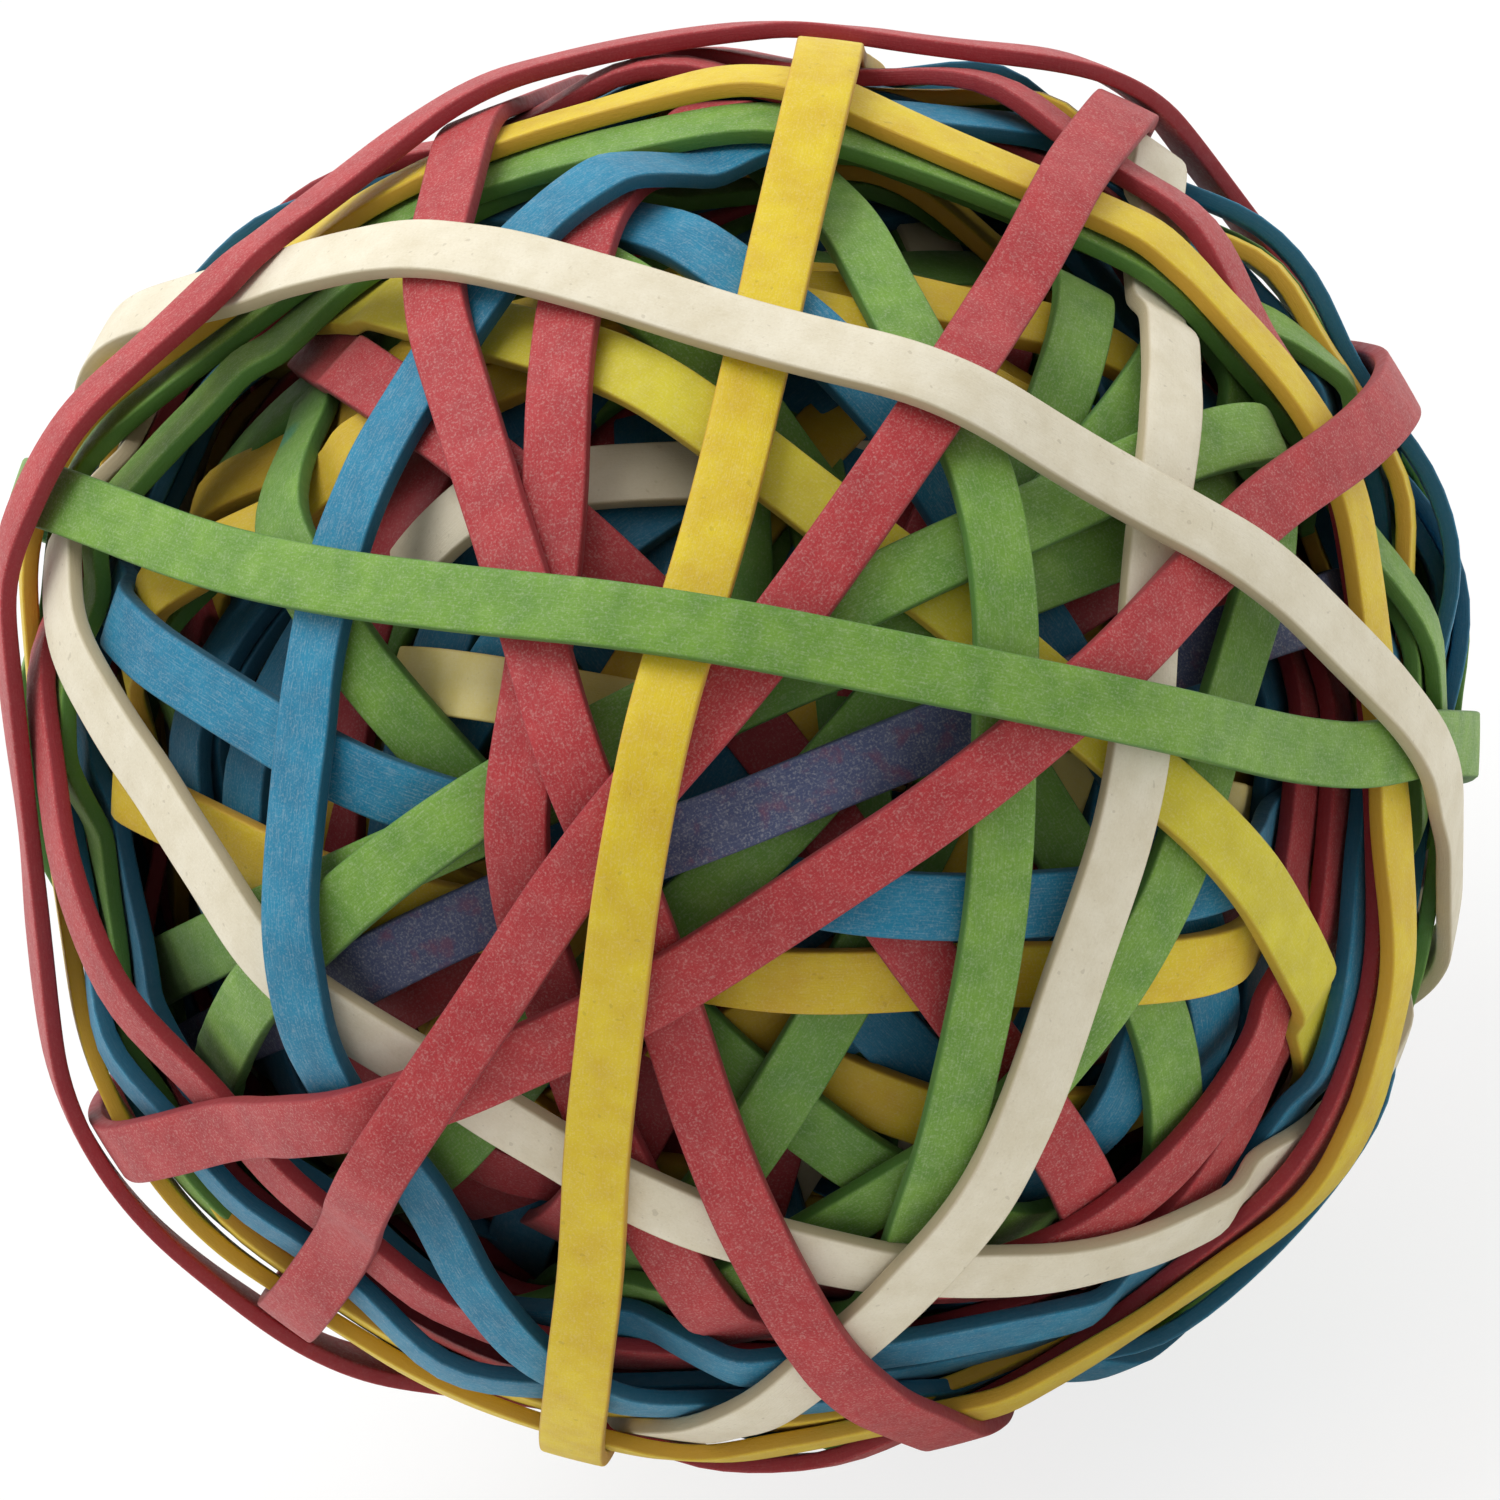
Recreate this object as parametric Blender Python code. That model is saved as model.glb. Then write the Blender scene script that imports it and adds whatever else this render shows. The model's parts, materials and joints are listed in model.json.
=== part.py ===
# Rubber band ball: closed rubber bands wound taut over a wound inner mass, each its own solid.
# The front of the ball faces -Y, +X is to the right, +Z is up, and it rests on one flat span of a band.

import math

import bpy
import numpy as np
from mathutils import Matrix, Vector
from mathutils.bvhtree import BVHTree

MM = 0.001

# Driving sizes in millimetres
BAND_WIDTH = 3.2
BAND_THICKNESS = 0.7
BAND_GAP = 0.2  # left where one band lies on another
BALL_RADIUS = 34.8  # to the top of the outer bands, on average
CORE_RADIUS = 31.0  # of the wound inner mass before the bands dent it

# How a band lies
SPANS = 48  # straight spans in a band
SINK = 0.5  # furthest a span's end drops below the line between its neighbours
SIDE_CLEARANCE = 0.15  # to each side of a band
ROUTE_BLEND_DEG = 9.0  # how far along a band each of its points is felt
CENTRE_PULL = 0.02  # how strongly a band is drawn to a great circle
DRAPE_PASSES = 200

# How the inner mass gives way
SETTLINGS = 6
TOP_SEARCH_DEG = 9.0
EVEN_OUT_DEG = 20.0
EVEN_OUT_SHARE = 0.5
FILL_SEARCH_DEG = 9.0

# What the ball rests on
REST_BAND = "band_red_left_rim"
REST_BACK_DEG = 31.0  # how far the front leans up when the ball is set down
REST_SIDE_DEG = 26.0  # how far the resting span lies to the right of the middle

# Colours, linear
COLOURS = {
    "red": (0.50, 0.055, 0.065),
    "yellow": (0.72, 0.50, 0.045),
    "lemon": (0.68, 0.60, 0.055),
    "pale": (0.84, 0.74, 0.36),
    "blue": (0.028, 0.23, 0.42),
    "green": (0.16, 0.37, 0.075),
    "white": (0.78, 0.74, 0.64),
    "purple": (0.085, 0.095, 0.20),
    "inner": (0.05, 0.10, 0.12),
}

# Each band in the order it is wound, innermost first: name, colour, and the points it passes on
# the ball's front, right of and above the middle, in percent of the ball's outline radius. It runs
# on round the back.
BANDS = (
    ("band_yellow_pale", "pale", (
        (-75, 11), (-61, 11), (-47.5, 9.5), (-34, 6.5), (-20.5, 5.5), (-6.5, 1), (7, 0))),
    ("band_white_upper_deep", "white", (
        (-55, 30.5), (-47.5, 35.5), (-36.5, 38.5), (-26, 42), (-15, 44.5), (-4, 46), (9.5, 46),
        (36.5, 47), (50.5, 45), (65.5, 36.5))),
    ("band_yellow_upper_girdle", "yellow", (
        (-71, 66), (-61, 70), (-51, 72), (-41, 73), (-28.5, 73.5), (-6.5, 72), (7, 69.5), (20.5, 68.5),
        (33, 65.5), (42.5, 60.5), (53.5, 53.5), (70.5, 39.5), (82, 28.5))),
    ("band_blue_left_outer", "blue", (
        (-84.5, 23), (-88, 15.5), (-88.5, -2), (-86.5, -26.5), (-83, -43.5), (-76, -58), (-69.5, -70.5),
        (-63.5, -76))),
    ("band_green_left_limb", "green", (
        (-65.5, 60.5), (-72, 54.5), (-79.5, 43), (-84.5, 34), (-89, 23.5), (-95.5, 6), (-93.5, -14.5),
        (-89.5, -35), (-87, -50), (-76, -62))),
    ("band_yellow_upper_slant", "yellow", (
        (-71, 40), (-62.5, 46), (-56, 52), (-51, 56.5), (-38, 58.5))),
    ("band_green_right_deep", "green", (
        (52.5, 71), (50.5, 63.5), (48.5, 56.5), (46, 49.5), (43.5, 43.5), (41, 25), (39.5, 11.5))),
    ("band_green_lower_right", "green", (
        (39.5, -2), (43, -10.5), (48, -18.5), (54.5, -26.5), (60, -36.5), (62, -47), (62, -59.5),
        (60, -74))),
    ("band_yellow_lower_cross", "yellow", (
        (-2, -38.5), (7, -36), (20.5, -35), (34, -35), (48, -34), (63.5, -33.5), (74, -32))),
    ("band_red_long_slant", "red", (
        (-62.5, 57), (-45, 44), (-34, 36), (-20.5, 25), (-9.5, 14), (0, 2), (11, -13), (21.5, -29.5),
        (33, -44.5), (42.5, -55.5), (52, -76))),
    ("band_blue_lower_cross", "blue", (
        (-85, 13), (-77.5, 5.5), (-69.5, 0), (-58.5, -6.5), (-51, -10.5), (12.5, -24), (29, -23),
        (42.5, -23.5), (54.5, -23), (65.5, -22), (76.5, -19.5), (86, -14.5))),
    ("band_red_right_low", "red", (
        (89, -6.5), (89, -14.5), (86.5, -21.5), (83.5, -28), (78, -36.5), (69, -52.5), (63, -61),
        (54.5, -65.5), (48, -68.5))),
    ("band_green_base_rim", "green", (
        (-50.5, -87.5), (-41, -92), (-17.5, -98.5), (7, -99), (20.5, -96.5), (34, -91.5), (51.5, -86.5),
        (56, -84.5))),
    ("band_green_lower_left", "green", (
        (-43.5, -61), (-34, -47), (-26.5, -36.5), (-19, -33), (-9.5, -25.5), (-4, -20), (3, -14.5),
        (16, 2.5))),
    ("band_purple_slant", "purple", (
        (-84.5, -46.5), (-76, -44.5), (-68, -39.5), (-54.5, -32), (-45, -27.5), (-27, -20),
        (-6.5, -12.5), (20.5, -1), (41, 6), (64, 12), (84.5, 19.5), (93.5, 22.5))),
    ("band_green_left_rise", "green", (
        (-92.5, -35.5), (-84.5, -31.5), (-75, -27.5), (-58.5, -19.5), (-43.5, -14), (-37.5, -11),
        (-28.5, -5), (-19.5, 0.5))),
    ("band_green_right_slant", "green", (
        (79, 32), (76.5, 25), (74, 14), (70.5, 5.5), (65.5, -6.5), (56.5, -24), (48, -39),
        (42.5, -48.5), (34, -55.5), (15, -71.5))),
    ("band_yellow_lemon_slant", "lemon", (
        (-35.5, 60), (-26, 57), (-15, 53), (-5.5, 45.5), (7, 36), (26.5, 18.5), (39.5, 12), (52, -3),
        (68.5, -17), (75, -26), (81.5, -35), (82.5, -43))),
    ("band_green_upper_right", "green", (
        (11, 18.5), (21.5, 23.5), (30, 28), (41, 32), (52, 39.5), (63, 43.5), (74, 47), (79, 47),
        (89, 40), (92, 33.5))),
    ("band_green_upright", "green", (
        (11, 81.5), (15, 77), (19, 67.5), (24, 58), (31, 38), (34, 22.5), (34, -7.5), (32, -32),
        (26.5, -52), (24.5, -65), (20.5, -84.5), (11, -93.5))),
    ("band_red_left_upright", "red", (
        (-6.5, 97.5), (-18.5, 88.5), (-21.5, 82.5), (-26.5, 66), (-28, 47), (-28.5, 36), (-30, 14),
        (-33, -3.5), (-35, -24), (-34, -37.5), (-29, -50), (-20.5, -63.5), (-8, -81.5), (-2, -89))),
    ("band_blue_left_rim", "blue", (
        (-92.5, 37), (-96, 28.5), (-98.5, 5), (-98, -18), (-94, -36), (-77.5, -65), (-60.5, -81),
        (-40.5, -91.5))),
    ("band_blue_low_rim", "blue", (
        (-63, 77.5), (10, -88.5), (22.5, -88.5), (44, -85), (62.5, -76), (71.5, -66.5), (79, -52),
        (87.5, -31), (93.5, -10), (97.5, 10))),
    ("band_green_upper_rim", "green", (
        (21.5, 91.5), (39.5, 86), (54, 78.5), (64.5, 72), (76, 62.5), (84.5, 53), (93.5, 32),
        (97.5, 12.5))),
    ("band_white_low_sweep", "white", (
        (-91, 26), (-94, 19.5), (-92.5, 7.5), (-88, -1), (-81, -13), (-67, -33), (-53.5, -44.5),
        (-41.5, -54), (-27.5, -61.5), (-13, -68), (7, -75), (27.5, -76), (51.5, -72), (63, -67.5),
        (78, -58))),
    ("band_blue_left_arch", "blue", (
        (44, 88.5), (33.5, 92.5), (15, 95), (3, 90), (-6.5, 87), (-17.5, 82.5), (-27, 76), (-42, 60.5), (-54.5, 44), (-61, 27), (-65, -1),
        (-63, -29.5), (-55, -59.5), (-45, -75), (-30, -87.5), (-12, -96.5), (0, -98), (18, -95))),
    ("band_white_right_arch", "white", (
        (56, 83), (60.5, 74), (61, 60.5), (57.5, 36), (54.5, 11.5), (50, -13), (43, -33.5),
        (36.5, -51.5), (27.5, -69), (14, -84.5), (3, -91), (-4.5, -95.5))),
    ("band_yellow_right_arch", "yellow", (
        (-36, 87), (-26, 91.5), (-15, 94.5), (0, 93.5), (26, 86), (51.5, 77), (65.5, 65.5),
        (76.5, 51.5), (85, 36), (91, 14), (91, -18.5), (84, -46), (76.5, -61.5), (64, -74.5),
        (42.5, -88))),
    ("band_red_centre_sweep", "red", (
        (-40, 86), (-44, 79.5), (-46.5, 63.5), (-38.5, 37.5), (-30, 12), (-23, -9), (-13.5, -30),
        (-13, -46), (-4.5, -62), (6.5, -82), (14, -90), (23.5, -93))),
    ("band_red_wide_slant", "red", (
        (87.5, 49.5), (84.5, 43), (69.5, 32), (56, 18.5), (46.5, 8.5), (35.5, -1), (21.5, -11.5),
        (0, -26.5), (-16, -37.5), (-36.5, -47), (-62.5, -52.5), (-75, -54.5), (-86.5, -54))),
    ("band_red_diagonal", "red", (
        (50.5, 86), (46, 83.5), (35.5, 64), (21.5, 41.5), (14, 30.5), (-2.5, 7.5), (-20.5, -11.5),
        (-33.5, -30), (-46, -50), (-55, -63.5), (-58, -71.5))),
    ("band_yellow_upright", "yellow", (
        (9.5, 98.5), (10, 92), (5.5, 80), (-1, 50.5), (-4.5, 34), (-12, 8), (-16.5, -17),
        (-21.5, -46.5), (-24, -81.5), (-25.5, -99.5))),
    ("band_green_girdle", "green", (
        (-89, 31.5), (-77.5, 25.5), (-51, 20.5), (-31.5, 18), (-18.5, 16.5), (0, 14), (16.5, 10.5),
        (32.5, 7), (51.5, 3.5), (64.5, 0.5), (75, -1), (99, 0))),
    ("band_white_crown", "white", (
        (-88.5, 47), (-79.5, 56), (-69.5, 63.5), (-61, 66), (-47.5, 67.5), (-34, 65.5), (-20.5, 62),
        (0, 55.5), (14, 51), (36, 41), (49, 35), (69.5, 23), (78, 17.5), (85.5, 10), (91.5, 2.5),
        (95.5, -6.5))),
    ("band_red_left_rim", "red", (
        (24.5, 96), (0, 99.5), (-15, 99.5), (-28.5, 94), (-42, 88.5), (-58.5, 75.5), (-68, 64),
        (-76, 55), (-84.5, 42), (-95.5, 18.5), (-98.5, -6.5), (-96.5, -21.5), (-94, -35), (-89, -50),
        (-77.5, -63.5))),
)


def clear_scene():
    for obj in list(bpy.data.objects):
        bpy.data.objects.remove(obj, do_unlink=True)


def new_collection(name, hidden=False):
    collection = bpy.data.collections.new(name)
    bpy.context.scene.collection.children.link(collection)
    collection.hide_render = hidden
    return collection


def rubber(name):
    material = bpy.data.materials.new("rubber_" + name)
    material.use_nodes = True
    shader = material.node_tree.nodes["Principled BSDF"]
    shader.inputs["Base Color"].default_value = (*COLOURS[name], 1.0)
    shader.inputs["Roughness"].default_value = 0.62
    material.diffuse_color = (*COLOURS[name], 1.0)
    return material


# The band's section, a flat strip seen end on, carried round each route.
def strip_section(collection):
    curve = bpy.data.curves.new("strip_section", "CURVE")
    curve.dimensions = "2D"
    spline = curve.splines.new("POLY")
    spline.points.add(3)
    half_x = BAND_THICKNESS / 2 * MM
    half_y = BAND_WIDTH / 2 * MM
    corners = ((-half_x, -half_y), (-half_x, half_y), (half_x, half_y), (half_x, -half_y))
    for point, (x, y) in zip(spline.points, corners):
        point.co = (x, y, 0.0, 1.0)
    spline.use_cyclic_u = True
    section = bpy.data.objects.new("strip_section", curve)
    section.hide_render = True
    section.display_type = "WIRE"
    collection.objects.link(section)
    return section


# The points a band passes, as unit directions from the ball's centre.
def directions(points):
    found = []
    for right, up in points:
        depth = math.sqrt(max(100.0**2 - right**2 - up**2, 0.0))
        found.append(Vector((right, -depth, up)).normalized())
    return np.array(found)


class Route:
    # A band's own plane (pole and latitude), bent to pass through its points and fading back to the
    # plane away from them.
    def __init__(self, points):
        towards = directions(points)
        count = len(towards)
        total = towards.sum(axis=0)
        spread = towards.T @ towards - np.outer(total, total) / (count * (1 + CENTRE_PULL))
        self.pole = np.linalg.eigh(spread)[1][:, 0]
        rest = float(self.pole @ total) / (count * (1 + CENTRE_PULL))
        if self.pole[2] < 0:
            self.pole = -self.pole
            rest = -rest
        self.rest = math.asin(rest)
        self.first = np.cross(self.pole, (0.0, 1.0, 0.0) if abs(self.pole[1]) < 0.8 else (1.0, 0, 0))
        self.first /= np.linalg.norm(self.first)
        self.second = np.cross(self.pole, self.first)
        self.turns = np.arctan2(towards @ self.second, towards @ self.first)
        self.bends = np.arcsin(towards @ self.pole) - self.rest

    def latitude(self, turn):
        apart = (np.asarray(turn)[..., None] - self.turns + math.pi) % (2 * math.pi) - math.pi
        weight = np.exp(-0.5 * (apart / math.radians(ROUTE_BLEND_DEG)) ** 2)
        return self.rest + (weight * self.bends).sum(axis=-1) / (weight.sum(axis=-1) + 0.08)

    def direction(self, turn, latitude):
        across = np.cos(turn)[..., None] * self.first + np.sin(turn)[..., None] * self.second
        return np.cos(latitude)[..., None] * across + np.sin(latitude)[..., None] * self.pole


# How far the wound layers reach out under a band, all round its route.
def heights_under(route, turns, layers):
    half = BAND_WIDTH / 2 + SIDE_CLEARANCE
    reach = np.zeros(len(turns))
    middle = route.latitude(turns)
    for aside in np.linspace(-half, half, 9):
        lean = aside / BALL_RADIUS
        looks = route.direction(turns, middle + lean)
        for index, look in enumerate(looks):
            outward = Vector(look)
            hit = layers.ray_cast(outward * 60.0, -outward)[0]
            reach[index] = max(reach[index], hit.length * math.cos(lean))
    return np.maximum(reach, np.maximum(np.roll(reach, 1), np.roll(reach, -1)))


# The knots of a loop of straight spans that clears the height needed at every turn and lies as low
# as it can, sinking no more than SINK below a straight line between its neighbours.
def draped_loop(turns, needed):
    step = 2 * math.pi / SPANS
    before = np.floor(turns / step).astype(int) % SPANS
    after = (before + 1) % SPANS
    share = turns - before * step
    weight_before = np.sin(step - share) / math.sin(step)
    weight_after = np.sin(share) / math.sin(step)
    most = 1.0 / needed
    knots = np.full(SPANS, most.min() * math.cos(step / 2))
    for _ in range(DRAPE_PASSES):
        room = most - weight_before * knots[before] - weight_after * knots[after]
        lift = np.full(SPANS, np.inf)
        np.minimum.at(lift, before, room / np.maximum(weight_before, 1e-6))
        np.minimum.at(lift, after, room / np.maximum(weight_after, 1e-6))
        straight = (np.roll(knots, 1) + np.roll(knots, -1)) / (2 * math.cos(step))
        lift = np.minimum(lift, straight * (1 + SINK * knots) - knots)
        knots = knots + 0.3 * np.maximum(lift, 0.0)
    return np.arange(SPANS) * step, 1.0 / knots


# The evaluated mesh of an object, as points in millimetres and polygons.
def shape_of(obj):
    graph = bpy.context.evaluated_depsgraph_get()
    evaluated = obj.evaluated_get(graph)
    mesh = evaluated.to_mesh()
    points = [evaluated.matrix_world @ vertex.co / MM for vertex in mesh.vertices]
    polygons = [tuple(polygon.vertices) for polygon in mesh.polygons]
    evaluated.to_mesh_clear()
    return points, polygons


# Everything wound so far, for the next band to lie on.
class Layers:
    def __init__(self):
        self.points = []
        self.polygons = []

    def add(self, obj):
        bpy.context.view_layer.update()
        points, polygons = shape_of(obj)
        start = len(self.points)
        self.points += points
        self.polygons += [tuple(start + corner for corner in polygon) for polygon in polygons]

    def tree(self):
        return BVHTree.FromPolygons(self.points, self.polygons)


# A closed strip of rubber, its points still to be laid.
def new_band(name, material, route, section, collection, ball):
    curve = bpy.data.curves.new(name, "CURVE")
    curve.dimensions = "3D"
    curve.twist_mode = "Z_UP"
    curve.bevel_mode = "OBJECT"
    curve.bevel_object = section
    curve.materials.append(material)
    spline = curve.splines.new("POLY")
    spline.points.add(SPANS - 1)
    spline.use_cyclic_u = True
    band = bpy.data.objects.new(name, curve)
    band.parent = ball
    band.matrix_local = Matrix((route.first, route.second, route.pole)).transposed().to_4x4()
    collection.objects.link(band)
    return band


# Lays a band along its route, on top of the layers.
def lay_band(band, route, layers):
    turns = np.radians(np.arange(0.0, 360.0, 1.0))
    reach = heights_under(route, turns, layers.tree()) + BAND_GAP + BAND_THICKNESS / 2
    turn, flat = draped_loop(turns, reach * np.cos(route.latitude(turns)))
    latitude = route.latitude(turn)
    knots = np.stack((flat * np.cos(turn), flat * np.sin(turn), flat * np.tan(latitude)), axis=1)
    for point, knot, lean in zip(band.data.splines[0].points, knots * MM, latitude):
        point.co = (*knot, 1.0)
        point.tilt = -lean


# The inner mass of wound bands, one solid.
def inner_windings(material, collection, ball):
    bpy.ops.mesh.primitive_ico_sphere_add(subdivisions=4, radius=CORE_RADIUS * MM)
    core = bpy.context.object
    core.name = "inner_windings"
    for other in list(core.users_collection):
        other.objects.unlink(core)
    collection.objects.link(core)
    core.data.materials.append(material)
    core.parent = ball
    for polygon in core.data.polygons:
        polygon.use_smooth = True
    return core


# Dents the inner mass where bands pile up and fills it where they are few, as their pull does, so
# that the outside comes near one radius.
def even_out(core, layers):
    looks = np.array([tuple(vertex.co.normalized()) for vertex in core.data.vertices])
    tree = layers.tree()
    outside = np.array(
        [tree.ray_cast(Vector(look) * 60.0, -Vector(look))[0].length for look in looks]
    )
    apart = np.degrees(np.arccos(np.clip(looks @ looks.T, -1.0, 1.0)))
    tops = np.where(apart < TOP_SEARCH_DEG, outside, 0.0).max(axis=1)
    near = (apart < EVEN_OUT_DEG).astype(float)
    level = near @ tops / near.sum(axis=1)
    for vertex, look, high in zip(core.data.vertices, looks, level):
        size = vertex.co.length + EVEN_OUT_SHARE * (BALL_RADIUS - high) * MM
        vertex.co = Vector(look) * size


# Swells the inner mass to fill the room left under the bands.
def fill_under(core, layers):
    inside = np.array([tuple(point) for point in layers.points])
    reach = np.linalg.norm(inside, axis=1)
    inside /= reach[:, None]
    for vertex in core.data.vertices:
        look = vertex.co.normalized()
        near = inside @ np.array(look) > math.cos(math.radians(FILL_SEARCH_DEG))
        room = reach[near].min() if near.any() else BALL_RADIUS - 2 * BAND_THICKNESS
        vertex.co = look * (room - BAND_GAP) * MM


# The outward normal of the resting band's flat span that lies nearest the wanted lean.
def resting_span(band):
    back, side = math.radians(REST_BACK_DEG), math.radians(REST_SIDE_DEG)
    wanted = Vector((math.sin(side) * math.cos(back), math.sin(back), -math.cos(side) * math.cos(back)))
    points, polygons = shape_of(band)
    best = Vector((0.0, 0.0, 0.0))
    for polygon in polygons:
        corners = [points[corner] for corner in polygon]
        normal = (corners[2] - corners[0]).cross(corners[-1] - corners[1]).normalized()
        if corners[0].dot(normal) > 0.0 and normal.dot(wanted) > best.dot(wanted):
            best = normal
    return best


# Turns the ball onto that span and sets it on the floor, centred.
def settle(ball, layers):
    turn = resting_span(bpy.data.objects[REST_BAND]).rotation_difference(Vector((0.0, 0.0, -1.0)))
    points = np.array([tuple(turn @ point) for point in layers.points])
    low, high = points.min(axis=0), points.max(axis=0)
    middle = (low + high) / 2
    lift = Vector((-middle[0], -middle[1], -low[2])) * MM
    ball.matrix_world = Matrix.Translation(lift) @ turn.to_matrix().to_4x4()


def main():
    clear_scene()
    collection = new_collection("rubber_band_ball")
    guides = new_collection("guides", hidden=True)
    section = strip_section(guides)
    ball = bpy.data.objects.new("ball", None)
    collection.objects.link(ball)
    rubbers = {name: rubber(name) for name in COLOURS}
    core = inner_windings(rubbers["inner"], collection, ball)
    bands = []
    for name, colour, points in BANDS:
        route = Route(points)
        bands.append((new_band(name, rubbers[colour], route, section, collection, ball), route))
    for settling in range(SETTLINGS):
        layers = Layers()
        layers.add(core)
        for band, route in bands:
            lay_band(band, route, layers)
            layers.add(band)
        if settling < SETTLINGS - 1:
            even_out(core, layers)
    wound = Layers()
    for band, route in bands:
        wound.add(band)
    fill_under(core, wound)
    settle(ball, wound)
    bpy.context.view_layer.update()


main()
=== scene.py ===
# Visual model of the rubber band ball: every band swept as a rounded rubber strip over the ones
# below it, with the deeper bands that show in the gaps, on a pale floor in soft studio light.
import json
import math

import bpy
import numpy as np
from mathutils import Matrix, Vector

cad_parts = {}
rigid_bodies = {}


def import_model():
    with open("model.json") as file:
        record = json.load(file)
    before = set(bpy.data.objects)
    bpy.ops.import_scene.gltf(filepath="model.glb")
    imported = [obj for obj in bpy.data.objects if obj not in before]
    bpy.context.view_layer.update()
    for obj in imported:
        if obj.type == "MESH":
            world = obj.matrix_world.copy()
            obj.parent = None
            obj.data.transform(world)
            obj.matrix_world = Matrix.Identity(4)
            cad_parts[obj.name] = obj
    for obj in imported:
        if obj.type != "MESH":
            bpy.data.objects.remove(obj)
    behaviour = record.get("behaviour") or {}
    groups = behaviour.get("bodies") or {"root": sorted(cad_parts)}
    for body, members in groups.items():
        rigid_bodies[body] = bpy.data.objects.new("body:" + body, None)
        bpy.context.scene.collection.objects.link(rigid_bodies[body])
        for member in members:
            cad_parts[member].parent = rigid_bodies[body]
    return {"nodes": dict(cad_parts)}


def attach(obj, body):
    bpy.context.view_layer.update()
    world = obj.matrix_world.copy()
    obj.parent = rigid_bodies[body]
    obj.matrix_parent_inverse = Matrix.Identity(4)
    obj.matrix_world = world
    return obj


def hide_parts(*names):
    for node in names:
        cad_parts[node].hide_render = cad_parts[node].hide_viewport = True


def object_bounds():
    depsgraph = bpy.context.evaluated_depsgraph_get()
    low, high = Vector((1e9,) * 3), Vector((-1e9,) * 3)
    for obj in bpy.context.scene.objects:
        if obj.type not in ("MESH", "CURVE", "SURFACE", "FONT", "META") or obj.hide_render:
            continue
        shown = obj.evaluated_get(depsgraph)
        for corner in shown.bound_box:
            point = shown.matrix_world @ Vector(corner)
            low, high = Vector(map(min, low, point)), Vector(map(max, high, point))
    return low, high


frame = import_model()
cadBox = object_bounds()
print("frame loaded,", len(frame["nodes"]), "nodes")

mm = 0.001
ballCentre = np.array((0.957, -0.159, 36.816))  # mm, where the ball stands in the row's frame
footNormal = Vector((0.379717, 0.516132, -0.767738))  # the ball's own direction that points down
ballTurn = np.array(footNormal.rotation_difference(Vector((0, 0, -1))).to_matrix())

stations = 360  # along a band
spansInCad = 48
bandWidth = 3.2
bandThickness = 0.84  # thicker than the solid by the gap that the solids keep
cadThickness = 0.7
cellsAcross = 256  # of one side of the cube that the height maps lie on

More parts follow.
